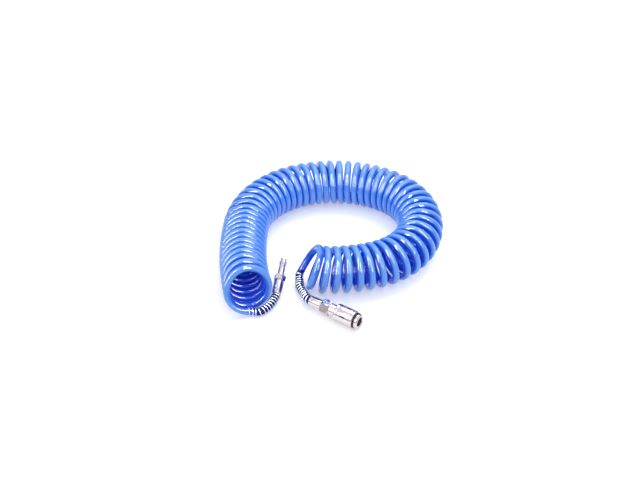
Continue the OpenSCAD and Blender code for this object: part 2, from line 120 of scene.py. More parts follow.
class FittingSizes(bpy.types.PropertyGroup):
    """Sizes of the plug and the coupler."""

    nut: length("Nut", "Outer diameter of the clamp nuts", 0.014)
    grip: length("Grip", "Depth of the hose in a nut", 0.012)
    stem: length("Stem", "Diameter of the stem in the hose", 0.007)
    air: length("Air bore", "Air bore through the fittings", 0.005)
    plug_hex: length("Plug hexagon", "Across the plug's flats", 0.014)
    body_hex: length("Body hexagon", "Across the coupler body's flats", 0.019)
    neck: length("Neck", "Diameter of the plug's neck", 0.0094)
    collar: length("Collar", "Diameter of the plug's collar", 0.0114)
    tip: length("Tip", "Diameter of the plug's tip", 0.0084)
    barrel: length("Barrel", "Diameter of the coupler's barrel", 0.017)
    body: length("Body", "Diameter of the body under the sleeve", 0.0148)
    mouth: length("Mouth", "Diameter of the coupler's mouth", 0.0124)
    nose: length("Nose", "Diameter of the nose ring", 0.0205)
    ring: length("Retaining ring", "Diameter of the retaining ring", 0.0218)
    sleeve: length("Sleeve", "Diameter of the release sleeve", 0.0245)
    ball: length("Ball", "Diameter of a locking ball", 0.0035)
    facets: IntProperty(
        name="Facets", description="Faces round a turned piece", default=144, min=36
    )


class Finishes(bpy.types.PropertyGroup):
    """Colours of the materials."""

    # Painted light and shade of the hose: the pale colour is painted light where it faces open
    # air, and the next three are painted shade between the turns, inside the coil and under a
    # guard's curls
    hose: colour("Hose", "Polyurethane on the side open to the air", "#66A6FF")
    turn_shade: colour("Wall", "Polyurethane between the turns", "#0064E8")
    inner: colour("Inner", "Polyurethane inside the coil", "#0052F0")
    guard_curl_shade: colour("Guard curl shade", "Polyurethane between the curls of a guard", "#00187A")
    nickel: colour("Nickel", "Nickel plate of the fittings", "#DCD3D8")
    wire: colour("Wire", "Plated wire of the guards", "#D2DEEE")
    steel: colour("Steel", "Drawn wire of the inner springs", "#B4B8BE")
    oxide: colour("Oxide", "Blackened retaining ring", "#4A4241")
    brass: colour("Brass", "Turned brass poppet", "#D0AE62")
    rubber: colour("Rubber", "Nitrile rubber seals", "#1C1C1E")
    # Painted shade: the dark floor of the sleeve's slot
    grease: colour("Grease", "Painted shade on the floor of the sleeve's slot", "#1B1817")
    floor: colour("Floor", "Floor and backdrop", "#F4F4F5")


class StageSettings(bpy.types.PropertyGroup):
    """Camera, lamps and floor."""

    lens: FloatProperty(name="Lens", description="Focal length in mm", default=65.7)
    distance: length("Distance", "From the middle of the hose to the camera", 1.642)
    tilt: FloatProperty(
        name="Tilt", description="Camera's angle above the floor",
        default=math.radians(37), subtype="ANGLE",
    )
    sky: FloatProperty(name="Sky", description="Strength of the world's light", default=1.0)
    lamps: FloatProperty(name="Lamps", description="Factor on every lamp", default=1.0)


# ---------------------------------------------------------------- node trees


def add(tree, kind, sockets=None, **settings):
    """Adds one node, sets its settings and fills its sockets with values or links."""
    made = tree.nodes.new(kind)
    for key, value in settings.items():
        setattr(made, key, value)
    for key, value in (sockets or {}).items():
        if isinstance(value, bpy.types.NodeSocket):
            tree.links.new(value, made.inputs[key])
        else:
            made.inputs[key].default_value = value
    return made


def new_material(name):
    made = bpy.data.materials.new(name)
    made.use_nodes = True
    made.node_tree.nodes.clear()
    return made, made.node_tree


def finish_material(tree, shader):
    add(tree, "ShaderNodeOutputMaterial", {"Surface": shader})


def polyurethane(name, tint, turn_shade, inner, guard_curl_shade):
    """Extruded polyurethane, clear enough for light to spread inside it. Its light and shade are
    painted by place: a pale painted light where it faces open air, and a deeper painted shade
    where the turns face each other, inside the coil and under a guard's curls."""
    made, tree = new_material(name)
    place = add(tree, "ShaderNodeTexCoord").outputs["Object"]
    # Mask for the painted light and shade: 1 on the side open to the air, 0 towards the next
    # turn, -1 inside the coil, and less than -1.5 under a guard
    side = add(tree, "ShaderNodeAttribute", attribute_name="outside").outputs["Fac"]
    # Slow drift of the pigment, about 40 mm across
    cloud = add(tree, "ShaderNodeTexNoise", {"Vector": place, "Scale": 25.0, "Detail": 2.0})
    # Faint ripple of the die and dust marks, drawn at 0.6 mm so that they show
    ripple = add(tree, "ShaderNodeTexNoise", {"Vector": place, "Scale": 1600.0, "Detail": 1.0})
    bump = add(
        tree, "ShaderNodeBump",
        {"Strength": 0.04, "Distance": 0.00008, "Height": ripple.outputs["Fac"]},
    )
    drift = add(
        tree, "ShaderNodeMapRange",
        {"Value": cloud.outputs["Fac"], "To Min": -0.1, "To Max": 0.1},
    )
    moved = add(tree, "ShaderNodeMath", {0: side, 1: drift.outputs["Result"]})
    # Painted light: the pale colour where the hose faces open air, fading to painted shade
    # towards the next turn
    pale = add(
        tree, "ShaderNodeMapRange",
        {"Value": moved.outputs[0], "From Min": 0.3, "From Max": 0.95},
        interpolation_type="SMOOTHSTEP",
    )
    # Painted shade: deeper still inside the coil
    deep = add(
        tree, "ShaderNodeMapRange",
        {"Value": moved.outputs[0], "From Min": 0.1, "From Max": -0.6},
        interpolation_type="SMOOTHSTEP",
    )
    painted_light_and_shade = add(
        tree, "ShaderNodeMix", {0: pale.outputs["Result"], 6: (*turn_shade, 1), 7: (*tint, 1)},
        data_type="RGBA",
    )
    shade = add(
        tree, "ShaderNodeMix",
        {0: deep.outputs["Result"], 6: painted_light_and_shade.outputs[2], 7: (*inner, 1)},
        data_type="RGBA",
    )
    # Painted shade: near black under a guard's curls
    under = add(
        tree, "ShaderNodeMapRange", {"Value": side, "From Min": -1.3, "From Max": -1.6}
    )
    shade = add(
        tree, "ShaderNodeMix",
        {0: under.outputs["Result"], 6: shade.outputs[2], 7: (*guard_curl_shade, 1)}, data_type="RGBA",
    )
    haze = add(
        tree, "ShaderNodeMapRange",
        {"Value": cloud.outputs["Fac"], "To Min": 0.22, "To Max": 0.32},
    )
    # The wire of a guard rubs the skin below it dull
    rubbed = add(
        tree, "ShaderNodeMix", {0: under.outputs["Result"], 2: haze.outputs["Result"], 3: 0.6}
    )
    polish = add(
        tree, "ShaderNodeMapRange",
        {"Value": under.outputs["Result"], "To Min": 0.8, "To Max": 0.05},
    )
    skin = add(
        tree, "ShaderNodeBsdfPrincipled",
        {
            "Base Color": shade.outputs[2], "Roughness": rubbed.outputs[0], "IOR": 1.5,
            "Subsurface Weight": 0.15, "Subsurface Radius": (0.1, 0.35, 1.0),
            "Subsurface Scale": 0.003, "Coat Weight": polish.outputs["Result"],
            "Coat Roughness": 0.04, "Coat IOR": 1.55, "Specular IOR Level": 0.1,
            "Normal": bump.outputs["Normal"],
        },
    )
    finish_material(tree, skin.outputs["BSDF"])
    return made


def metal_skin(tree, tint, stain, worn, rough, marks, metallic=1.0):
    """The shader that the metals share. stain is a noise that darkens the tint to worn times
    itself and takes the roughness between two values; marks are a bump's node sockets."""
    haze = add(
        tree, "ShaderNodeMapRange", {"Value": stain, "To Min": rough[0], "To Max": rough[1]}
    )
    shade = add(
        tree, "ShaderNodeMix", {0: stain, 6: (*tint, 1), 7: (*(c * worn for c in tint), 1)},
        data_type="RGBA",
    )
    bump = add(tree, "ShaderNodeBump", marks)
    skin = add(
        tree, "ShaderNodeBsdfPrincipled",
        {
            "Base Color": shade.outputs[2], "Metallic": metallic,
            "Roughness": haze.outputs["Result"], "Normal": bump.outputs["Normal"],
        },
    )
    finish_material(tree, skin.outputs["BSDF"])


def turned_plate(name, tint, axes, rough):
    """Nickel plate over turned brass or steel: bright, with fine rings left by the lathe
    that run round the fitting's axis."""
    made, tree = new_material(name)
    place = add(tree, "ShaderNodeTexCoord").outputs["Object"]
    spun = add(
        tree, "ShaderNodeMapping", {"Vector": place, "Rotation": axes}, vector_type="TEXTURE"
    )
    parts = add(tree, "ShaderNodeSeparateXYZ", {"Vector": spun.outputs["Vector"]})
    rings = add(tree, "ShaderNodeCombineXYZ", {"Z": parts.outputs["Z"]})
    # Feed marks of 0.15 mm, drawn at 0.5 mm so that they show
    feed = add(
        tree, "ShaderNodeTexNoise", {"Vector": rings.outputs["Vector"], "Scale": 2000.0}
    )
    # Stains from handling, about 4 mm across
    stain = add(tree, "ShaderNodeTexNoise", {"Vector": place, "Scale": 260.0, "Detail": 3.0})
    metal_skin(
        tree, tint, stain.outputs["Fac"], 0.88, (rough * 0.7, rough * 1.5),
        {"Strength": 0.12, "Distance": 0.00004, "Height": feed.outputs["Fac"]},
    )
    return made


def drawn_metal(name, tint, rough, scale, metallic=1.0, grain=0.1):
    """Drawn wire, blackened steel, polished balls and turned brass: metal with a light
    mottle of wear. The painted shade on the floor of the sleeve's slot is made the same way, with
    no metal in it."""
    made, tree = new_material(name)
    place = add(tree, "ShaderNodeTexCoord").outputs["Object"]
    mottle = add(tree, "ShaderNodeTexNoise", {"Vector": place, "Scale": scale, "Detail": 2.0})
    metal_skin(
        tree, tint, mottle.outputs["Fac"], 0.82, (rough * 0.75, rough * 1.4),
        {"Strength": grain, "Distance": 0.00003, "Height": mottle.outputs["Fac"]}, metallic,
    )
    return made


def nitrile(name, tint):
    """Nitrile rubber: dull black with a fine matt skin."""
    made, tree = new_material(name)
    place = add(tree, "ShaderNodeTexCoord").outputs["Object"]
    skin_noise = add(tree, "ShaderNodeTexNoise", {"Vector": place, "Scale": 3000.0})
    bump = add(
        tree, "ShaderNodeBump",
        {"Strength": 0.2, "Distance": 0.00003, "Height": skin_noise.outputs["Fac"]},
    )
    skin = add(
        tree, "ShaderNodeBsdfPrincipled",
        {"Base Color": (*tint, 1), "Roughness": 0.62, "Normal": bump.outputs["Normal"]},
    )
    finish_material(tree, skin.outputs["BSDF"])
    return made


def pale_floor(tint):
    """Matt paper: lit by the lamps, and lifted to white for the camera and for reflections."""
    made, tree = new_material("Paper, matt")
    seen = add(tree, "ShaderNodeLightPath")
    sum_seen = add(
        tree, "ShaderNodeMath",
        {0: seen.outputs["Is Camera Ray"], 1: seen.outputs["Is Glossy Ray"]}, operation="MAXIMUM",
    )
    lift = add(tree, "ShaderNodeMath", {0: sum_seen.outputs[0], 1: 0.36}, operation="MULTIPLY")
    matt = add(tree, "ShaderNodeBsdfDiffuse", {"Color": (*tint, 1)})
    glow = add(tree, "ShaderNodeEmission", {"Color": (1, 1, 1, 1), "Strength": lift.outputs[0]})
    both = add(tree, "ShaderNodeAddShader", {0: matt.outputs[0], 1: glow.outputs[0]})
    finish_material(tree, both.outputs[0])
    return made


# ---------------------------------------------------------------- route of the hose

# radius, sweep, turns, lean in and out, lift in and out, swell in and out (mm, degrees)
BENDS = [
    (480, 1.5, 0.75, 8, 7.8, 6, 1, 1.5, 0.6),
    (480, 2.35, 1.25, 7.8, 8.5, 1, 0, 0.6, 0),
    (480, 14.65, 10.2, 8.5, 0, 0, 0, 0, 0),
    (120, 66, 10.1, 0, 0, 0, 0, 0, 0),
    (142, 50, 9.5, 0, 0, 0, 0, 0, 0),
    (101, 127.3, 15.2, 0, 0.5, 0, 0, 0, 0),
    (196, 23, 5.5, 0.5, -8, 0, 1, 0, 0),
    (184, 4, 1, -8, -11, 1, 7, 0, -3),
    (184, 2.4, 0.375, -11, -11, 7, 8, -3, -3),
]
ROUTE_START = Vector((-113.5, -128))
ROUTE_HEADING = 103.5
START_TURN = 10 / 360
END_TURN = 53.875
PLUG_AT, PLUG_HEADING, PLUG_LIFT = Vector((-79, -102.5, 9)), 79, 22
COUPLER_AT, COUPLER_HEADING = Vector((-32.3, -117.5, 12.25)), -34.5
PLUG_ROUTE = [(-98, -134, 7), (-87.5, -122.5, 7.3), (-82, -111, 8.2)]
COUPLER_ROUTE = [(-47.6, -73.5, 9.4), (-46.6, -86, 8.4), (-41, -100.5, 9.6)]


def sine(a):
    return math.sin(math.radians(a))


def cosine(a):
    return math.cos(math.radians(a))


def bend_starts():
    """Turns so far, point and heading at the start of each bend."""
    turns, point, heading, starts = 0.0, ROUTE_START.copy(), ROUTE_HEADING, []
    for bend in BENDS:
        centre = point + bend[0] * Vector((sine(heading), -cosine(heading)))
        starts.append((turns, centre, heading))
        heading -= bend[1]
        point = centre + bend[0] * Vector((-sine(heading), cosine(heading)))
        turns += bend[2]
    return starts


STARTS = bend_starts()


def turn_at(n, sizes):
    """n turns along the coil: the hose's centre, and the ways out of the coil and along it."""
    i = max(k for k in range(len(BENDS)) if n >= STARTS[k][0] - 0.0001)
    bend, (first, centre, heading) = BENDS[i], STARTS[i]
    u = (n - first) / bend[2]
    a = heading - bend[1] * u
    lean, lift, swell = (bend[k] + (bend[k + 1] - bend[k]) * u for k in (3, 5, 7))
    f = 180 + 360 * n
    out = Vector((sine(f) * sine(a), -sine(f) * cosine(a), cosine(f)))
    mean = (sizes.coil - sizes.hose) / 2 / MM + swell
    axis_z = sizes.coil / 2 / MM - sizes.hose / 10 / MM + lift
    flat = centre + bend[0] * Vector((-sine(a), cosine(a)))
    along = Vector((cosine(a), sine(a), 0))
    return Vector((flat.x, flat.y, axis_z)) + mean * out + lean * cosine(f) * along, out, along


def turn(n, sizes):
    return turn_at(n, sizes)[0]


def open_side(n, sizes):
    """The way that the hose faces open air: out of the coil, and past its first and last turn."""
    _, out, along = turn_at(n, sizes)
    past = max(0, 1 - (END_TURN - n)) - max(0, 1 - (n - START_TURN))
    return (out + END_TURN_OPEN * past * along).normalized()


def way(heading, lift):
    return Vector((cosine(lift) * cosine(heading), cosine(lift) * sine(heading), sine(lift)))


def rounded(points, leave, arrive, steps):
    """A smooth route through points that leaves and arrives along given directions."""
    p, route = [Vector(q) for q in points], []
    last = len(p) - 1

    def slope(i):
        if i == 0:
            return leave * (p[1] - p[0]).length
        if i == last:
            return arrive * (p[last] - p[last - 1]).length
        return (p[i + 1] - p[i - 1]) / 2

    for i in range(last):
        for k in range(steps):
            t = k / steps
            route.append(
                (2 * t**3 - 3 * t**2 + 1) * p[i] + (t**3 - 2 * t**2 + t) * slope(i)
                + (3 * t**2 - 2 * t**3) * p[i + 1] + (t**3 - t**2) * slope(i + 1)
            )
    return route + [p[last]]


def in_metres(points):
    return [q * MM for q in points]


def hose_routes(sizes, hold):
    """The coil, and each tail from the coil to its nut and on inside it, all in metres."""
    grip = hold / MM
    count = round((END_TURN - START_TURN) * sizes.steps)
    span, nearby = END_TURN - START_TURN, 0.002
    coil = [turn(START_TURN + span * k / count, sizes) for k in range(count + 1)]
    leave = (coil[0] - turn(START_TURN + nearby, sizes)).normalized()
    end = (coil[-1] - turn(END_TURN - nearby, sizes)).normalized()
    stub = sizes.hose / MM
    tails = []
    for first, go, middle, at, arrive in (
        (coil[0], leave, PLUG_ROUTE, PLUG_AT, way(PLUG_HEADING, PLUG_LIFT)),
        (coil[-1], end, COUPLER_ROUTE, COUPLER_AT, way(COUPLER_HEADING, 0)),
    ):
        bent = rounded([first + stub * go] + middle + [at], go, arrive, 14)
        tails.append(([first] + bent, [at + arrive * grip * k / 3 for k in (1, 2, 3)]))
    return in_metres(coil), [(in_metres(a), in_metres(b)) for a, b in tails]


def whole_route(sizes, grip):
    """The hose's centre from inside the coupler's nut to inside the plug's nut."""
    coil, (plug_tail, coupler_tail) = hose_routes(sizes, grip)
    path = coupler_tail[1][::-1] + coupler_tail[0][::-1]
    return path + coil[::-1][1:] + plug_tail[0][1:] + plug_tail[1]


def tail_light(tail, way_out, reach):
    """Along a tail: the way it faces open air, and how far a guard's curls darken it with painted
    shade.
    """
    points, nut = tail[0] + tail[1], len(tail[0]) - 1
    spans = [(b - a).length for a, b in zip(points, points[1:])]
    return [
        (way_out * max(0, 1 - k / FADE_POINTS), GUARD_SHADE * (sum(spans[k:nut]) < reach))
        for k in range(len(points))
    ]


def route_light(sizes, grip):
    """For each point of the whole route, what tail_light says."""
    coil, (plug_tail, coupler_tail) = hose_routes(sizes, grip)
    last = len(coil) - 1
    ways = [
        open_side(START_TURN + (END_TURN - START_TURN) * k / last, sizes)
        for k in range(last + 1)
    ]
    lit = tail_light(coupler_tail, ways[-1], sizes.coupler_guard)[::-1]
    lit += [(w, 0.0) for w in ways[-2::-1]]
    return lit + tail_light(plug_tail, ways[0], sizes.plug_guard)[1:]


def fitting_frame(at, heading, lift):
    """Places a fitting whose own Z runs from the hose to its open end."""
    turned = Matrix.Rotation(math.radians(heading), 4, "Z")
    return Matrix.Translation(at * MM) @ turned @ Matrix.Rotation(math.radians(90 - lift), 4, "Y")


ON_PLUG = fitting_frame(PLUG_AT, PLUG_HEADING, PLUG_LIFT)
ON_COUPLER = fitting_frame(COUPLER_AT, COUPLER_HEADING, 0)


# ---------------------------------------------------------------- making meshes


def link(obj, name, material, slot, body, *nodes):
    """Puts a finished piece in the scene, on its body, in the place of its CAD nodes."""
    obj.name = obj.data.name = name
    if obj.name not in bpy.context.scene.collection.objects:
        bpy.context.scene.collection.objects.link(obj)
    obj.data.materials.clear()
    obj.data.materials.append(material)
    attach(obj, body)
    if nodes:
        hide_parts(*nodes)
    gloss = HOSE_GLOSS if slot in STRONG_GLOSS_SLOTS else METAL_GLOSS
    bpy.data.collections[gloss].objects.link(obj)
    return obj


def as_object(name, shape):
    """An object of its own from a bmesh, which is freed."""
    mesh = bpy.data.meshes.new(name)
    shape.to_mesh(mesh)
    shape.free()
    return bpy.data.objects.new(name, mesh)


def baked(obj):
    """The mesh that an object's modifiers make."""
    bpy.context.view_layer.update()
    seen = obj.evaluated_get(bpy.context.evaluated_depsgraph_get())
    return bpy.data.meshes.new_from_object(seen)


def curve_object(name, points):
    """A straight-edged curve through points, for a node tree to work on."""
    data = bpy.data.curves.new(name, "CURVE")
    data.dimensions = "3D"
    spline = data.splines.new("POLY")
    spline.points.add(len(points) - 1)
    for k, p in enumerate(points):
        spline.points[k].co = (*p, 1)
    obj = bpy.data.objects.new(name, data)
    bpy.context.scene.collection.objects.link(obj)
    return obj


def grow(obj, tree, values):
    """Runs a node tree on an object and returns the result as a plain mesh object."""
    modifier = obj.modifiers.new(tree.name, "NODES")
    modifier.node_group = tree
    for item in tree.interface.items_tree:
        if item.item_type == "SOCKET" and item.in_out == "INPUT" and item.name in values:
            modifier[item.identifier] = values[item.name]
    mesh = baked(obj)
    obj.modifiers.remove(modifier)
    bpy.data.objects.remove(obj)
    return bpy.data.objects.new("grown", mesh)


def tree_with(name, sockets):
    """A Geometry Nodes tree with named inputs, each a name, a kind and a default."""
    tree = bpy.data.node_groups.new(name, "GeometryNodeTree")
    tree.interface.new_socket("Geometry", in_out="INPUT", socket_type="NodeSocketGeometry")
    for title, kind, value in sockets:
        made = tree.interface.new_socket(title, in_out="INPUT", socket_type=kind)
        if value is not None:
            made.default_value = value
    tree.interface.new_socket("Geometry", in_out="OUTPUT", socket_type="NodeSocketGeometry")
    return tree, tree.nodes.new("NodeGroupInput")


def close_tree(tree, shape, given):
    """Ends a tree: smooth faces, plain geometry and one material."""
    smooth = add(tree, "GeometryNodeSetShadeSmooth", {"Geometry": shape})
    real = add(tree, "GeometryNodeRealizeInstances", {"Geometry": smooth.outputs[0]})
    painted = add(
        tree, "GeometryNodeSetMaterial",
        {"Geometry": real.outputs[0], "Material": given.outputs["Material"]},
    )
    add(tree, "NodeGroupOutput", {0: painted.outputs[0]})


def hose_tree():
    """A round hose along a route, each point told how far it faces open air, the mask for its
    painted light and shade.
    """
    tree, given = tree_with(
        "Hose along a route",
        [
            ("Diameter", "NodeSocketFloat", 0.01), ("Sides", "NodeSocketInt", 20),
            ("Material", "NodeSocketMaterial", None),
        ],
    )
    half = add(
        tree, "ShaderNodeMath", {0: given.outputs["Diameter"], 1: 0.5}, operation="MULTIPLY"
    )
    ring = add(
        tree, "GeometryNodeCurvePrimitiveCircle",
        {"Resolution": given.outputs["Sides"], "Radius": half.outputs[0]},
    )
    line = add(tree, "GeometryNodeMeshToCurve", {"Mesh": given.outputs["Geometry"]})
    tube = add(
        tree, "GeometryNodeCurveToMesh",
        {"Curve": line.outputs[0], "Profile Curve": ring.outputs[0], "Fill Caps": True},
    )
    out = add(
        tree, "GeometryNodeInputNamedAttribute", {"Name": "open_side"}, data_type="FLOAT_VECTOR"
    )
    shade = add(tree, "GeometryNodeInputNamedAttribute", {"Name": "shade"}, data_type="FLOAT")
    square = add(tree, "GeometryNodeInputNormal").outputs[0]
    faces = add(
        tree, "ShaderNodeVectorMath", {0: square, 1: out.outputs[0]}, operation="DOT_PRODUCT"
    )
    side = add(
        tree, "ShaderNodeMath", {0: faces.outputs["Value"], 1: shade.outputs[0]},
        operation="SUBTRACT",
    )
    told = add(
        tree, "GeometryNodeStoreNamedAttribute",
        {"Geometry": tube.outputs[0], "Name": "outside", "Value": side.outputs[0]},
        data_type="FLOAT", domain="POINT",
    )
    close_tree(tree, told.outputs[0], given)
    return tree


def winding_tree():
    """A wire wound round a route, with its curls evenly spaced."""
    tree, given = tree_with(
        "Wire wound round a route",
        [
            ("Curls", "NodeSocketFloat", 12.0), ("Radius", "NodeSocketFloat", 0.006),
            ("Wire", "NodeSocketFloat", 0.0013), ("Steps", "NodeSocketInt", 24),
            ("Material", "NodeSocketMaterial", None),
        ],
    )
    count = add(
        tree, "ShaderNodeMath", {0: given.outputs["Curls"], 1: given.outputs["Steps"]},
        operation="MULTIPLY",
    )
    even = add(
        tree, "GeometryNodeResampleCurve",
        {"Curve": given.outputs["Geometry"], "Count": count.outputs[0]},
    )
    along = add(tree, "GeometryNodeSplineParameter").outputs["Factor"]
    turns = add(
        tree, "ShaderNodeMath", {0: along, 1: given.outputs["Curls"]}, operation="MULTIPLY"
    )
    angle = add(tree, "ShaderNodeMath", {0: turns.outputs[0], 1: math.tau}, operation="MULTIPLY")
    cos = add(tree, "ShaderNodeMath", {0: angle.outputs[0]}, operation="COSINE")
    sin = add(tree, "ShaderNodeMath", {0: angle.outputs[0]}, operation="SINE")
    side = add(tree, "GeometryNodeInputNormal").outputs[0]
    ahead = add(tree, "GeometryNodeInputTangent").outputs[0]
    over = add(tree, "ShaderNodeVectorMath", {0: ahead, 1: side}, operation="CROSS_PRODUCT")
    one = add(tree, "ShaderNodeVectorMath", {0: side, "Scale": cos.outputs[0]}, operation="SCALE")
    two = add(
        tree, "ShaderNodeVectorMath", {0: over.outputs[0], "Scale": sin.outputs[0]},
        operation="SCALE",
    )
    both = add(tree, "ShaderNodeVectorMath", {0: one.outputs[0], 1: two.outputs[0]})
    out = add(
        tree, "ShaderNodeVectorMath", {0: both.outputs[0], "Scale": given.outputs["Radius"]},
        operation="SCALE",
    )
    wound = add(
        tree, "GeometryNodeSetPosition", {"Geometry": even.outputs[0], "Offset": out.outputs[0]}
    )
    half = add(tree, "ShaderNodeMath", {0: given.outputs["Wire"], 1: 0.5}, operation="MULTIPLY")
    ring = add(
        tree, "GeometryNodeCurvePrimitiveCircle", {"Resolution": 12, "Radius": half.outputs[0]}
    )
    tube = add(
        tree, "GeometryNodeCurveToMesh",
        {"Curve": wound.outputs[0], "Profile Curve": ring.outputs[0], "Fill Caps": True},
    )
    close_tree(tree, tube.outputs[0], given)
    return tree


def hexagon_radius(across, angle):
    """Distance from the axis to a hexagon's side, at one angle."""
    return across / 2 / math.cos((angle + math.pi / 6) % (math.pi / 3) - math.pi / 6)


def turned_mesh(rows, place, facets):
    """A closed turned piece. rows run round the section, each a z with a radius or a
    function of the angle."""
    shape = bmesh.new()
    rings = []
    for z, r in rows:
        ring = []
        for k in range(facets):
            a = math.tau * k / facets
            reach = r(a) if callable(r) else r
            ring.append(shape.verts.new((reach * math.cos(a), reach * math.sin(a), z)))
        rings.append(ring)
    for i, ring in enumerate(rings):
        after = rings[(i + 1) % len(rings)]
        for k in range(facets):
            shape.faces.new((ring[k], ring[(k + 1) % facets], after[(k + 1) % facets], after[k]))
    bmesh.ops.recalc_face_normals(shape, faces=shape.faces)
    for face in shape.faces:
        face.smooth = True
    for edge in shape.edges:
        if edge.calc_face_angle(0) > SHARP_EDGE:
            edge.smooth = False
    shape.transform(place)
    return as_object("turned", shape)


def eased(profile, radius):
    """Rounds every corner of a closed section with a small arc."""
    soft, n = [], len(profile)
    for i, (z, r) in enumerate(profile):
        here = Vector((z, r))
        before = Vector(profile[i - 1]) - here
        after = Vector(profile[(i + 1) % n]) - here
        reach = min(radius, before.length * 0.4, after.length * 0.4)
        if before.angle(after) > FLAT_CORNER:
            soft.append((z, r))
            continue
        one, two = here + before.normalized() * reach, here + after.normalized() * reach
        for t in (0, 0.33, 0.67, 1):
            spot = one.lerp(here, t).lerp(here.lerp(two, t), t)
            soft.append((spot.x, spot.y))
    return soft


def hexagon_rows(across, z0, z1):
    """Rows of a hexagon whose corners are turned off at 30 degrees at both ends."""
    corner = across / 2 / math.cos(math.pi / 6)
    cut = (corner - across / 2) * 0.9
    fall = (cut + 0.1 * MM) * CORNER_SLOPE

    def row(z):
        depth = min(z - z0, z1 - z)
        cone = corner - cut + depth / CORNER_SLOPE
        return lambda a: min(hexagon_radius(across, a), cone)

    steps = [fall * k / 8 for k in range(9)]
    levels = [z0 + s for s in steps] + [z1 - s for s in reversed(steps)]
    return [(z, row(z)) for z in levels]


def mm(*points):
    """Points of a section, z and radius, given in millimetres."""
    return [(z * MM, r * MM) for z, r in points]


def cut_away(obj, cutters):
    """Cuts other meshes out of a piece, and keeps its smooth shading."""
    for cutter in cutters:
        bpy.context.scene.collection.objects.link(cutter)
        step = obj.modifiers.new("Cut", "BOOLEAN")
        step.operation, step.solver, step.object = "DIFFERENCE", "EXACT", cutter
    bpy.context.scene.collection.objects.link(obj)
    mesh = baked(obj)
    for cutter in [*cutters, obj]:
        bpy.data.objects.remove(cutter)
    return bpy.data.objects.new("cut", mesh)


def slot_block(r, deep, wide, long, soft):
    """A block with rounded edges that lies in the sleeve's slot, r out from the axis (mm)."""
    shape = bmesh.new()
    bmesh.ops.create_cube(shape, size=1)
    spin = Matrix.Rotation(math.radians(SLOT_ANGLE), 4, "Z")
    out = Matrix.Translation(Vector((r, 0, SLOT_Z)) * MM)
    size = Matrix.Diagonal((deep * MM, wide * MM, long * MM, 1))
    bmesh.ops.transform(shape, verts=shape.verts, matrix=ON_COUPLER @ spin @ out @ size)
    bmesh.ops.bevel(
        shape, geom=shape.edges[:], offset=soft * MM, segments=3, affect="EDGES", profile=0.5
    )
    return as_object("block", shape)


def rod(radius, z0, z1, place, facets=48):
    """A solid round bar, with its middle points merged."""
    made = turned_mesh([(z0, 0), (z0, radius), (z1, radius), (z1, 0)], place, facets)
    shape = bmesh.new()
    shape.from_mesh(made.data)
    bmesh.ops.remove_doubles(shape, verts=shape.verts, dist=1e-7)
    bmesh.ops.recalc_face_normals(shape, faces=shape.faces)
    shape.to_mesh(made.data)
    shape.free()
    return made


# ---------------------------------------------------------------- operators


def hose_settings(context):
    scene = context.scene
    return scene.hose_sizes, scene.fitting_sizes, scene.hose_finishes, scene.hose_stage


def finish(name, make, *values, **more):
    """The finish of that name, made when it is first asked for."""
    return bpy.data.materials.get(name) or make(name, *values, **more)


def plate(on, finishes):
    """Nickel plate for one fitting, its lathe marks square to that fitting's axis."""
    heading, lift, title = (
        (PLUG_HEADING, PLUG_LIFT, "Nickel plate, plug") if on == "plug"
        else (COUPLER_HEADING, 0, "Nickel plate, coupler")
    )
    turn_by = (0, math.radians(90 - lift), math.radians(heading))
    return finish(title, turned_plate, finishes.nickel, turn_by, 0.12)


def ball_place(k, out):
    """Where ball k is, out from the coupler's axis (mm)."""
    spin = Matrix.Rotation(math.radians(360 / BALLS * k + 30), 4, "Z")
    return ON_COUPLER @ spin @ Matrix.Translation(Vector((out, 0, BALL_Z)) * MM)


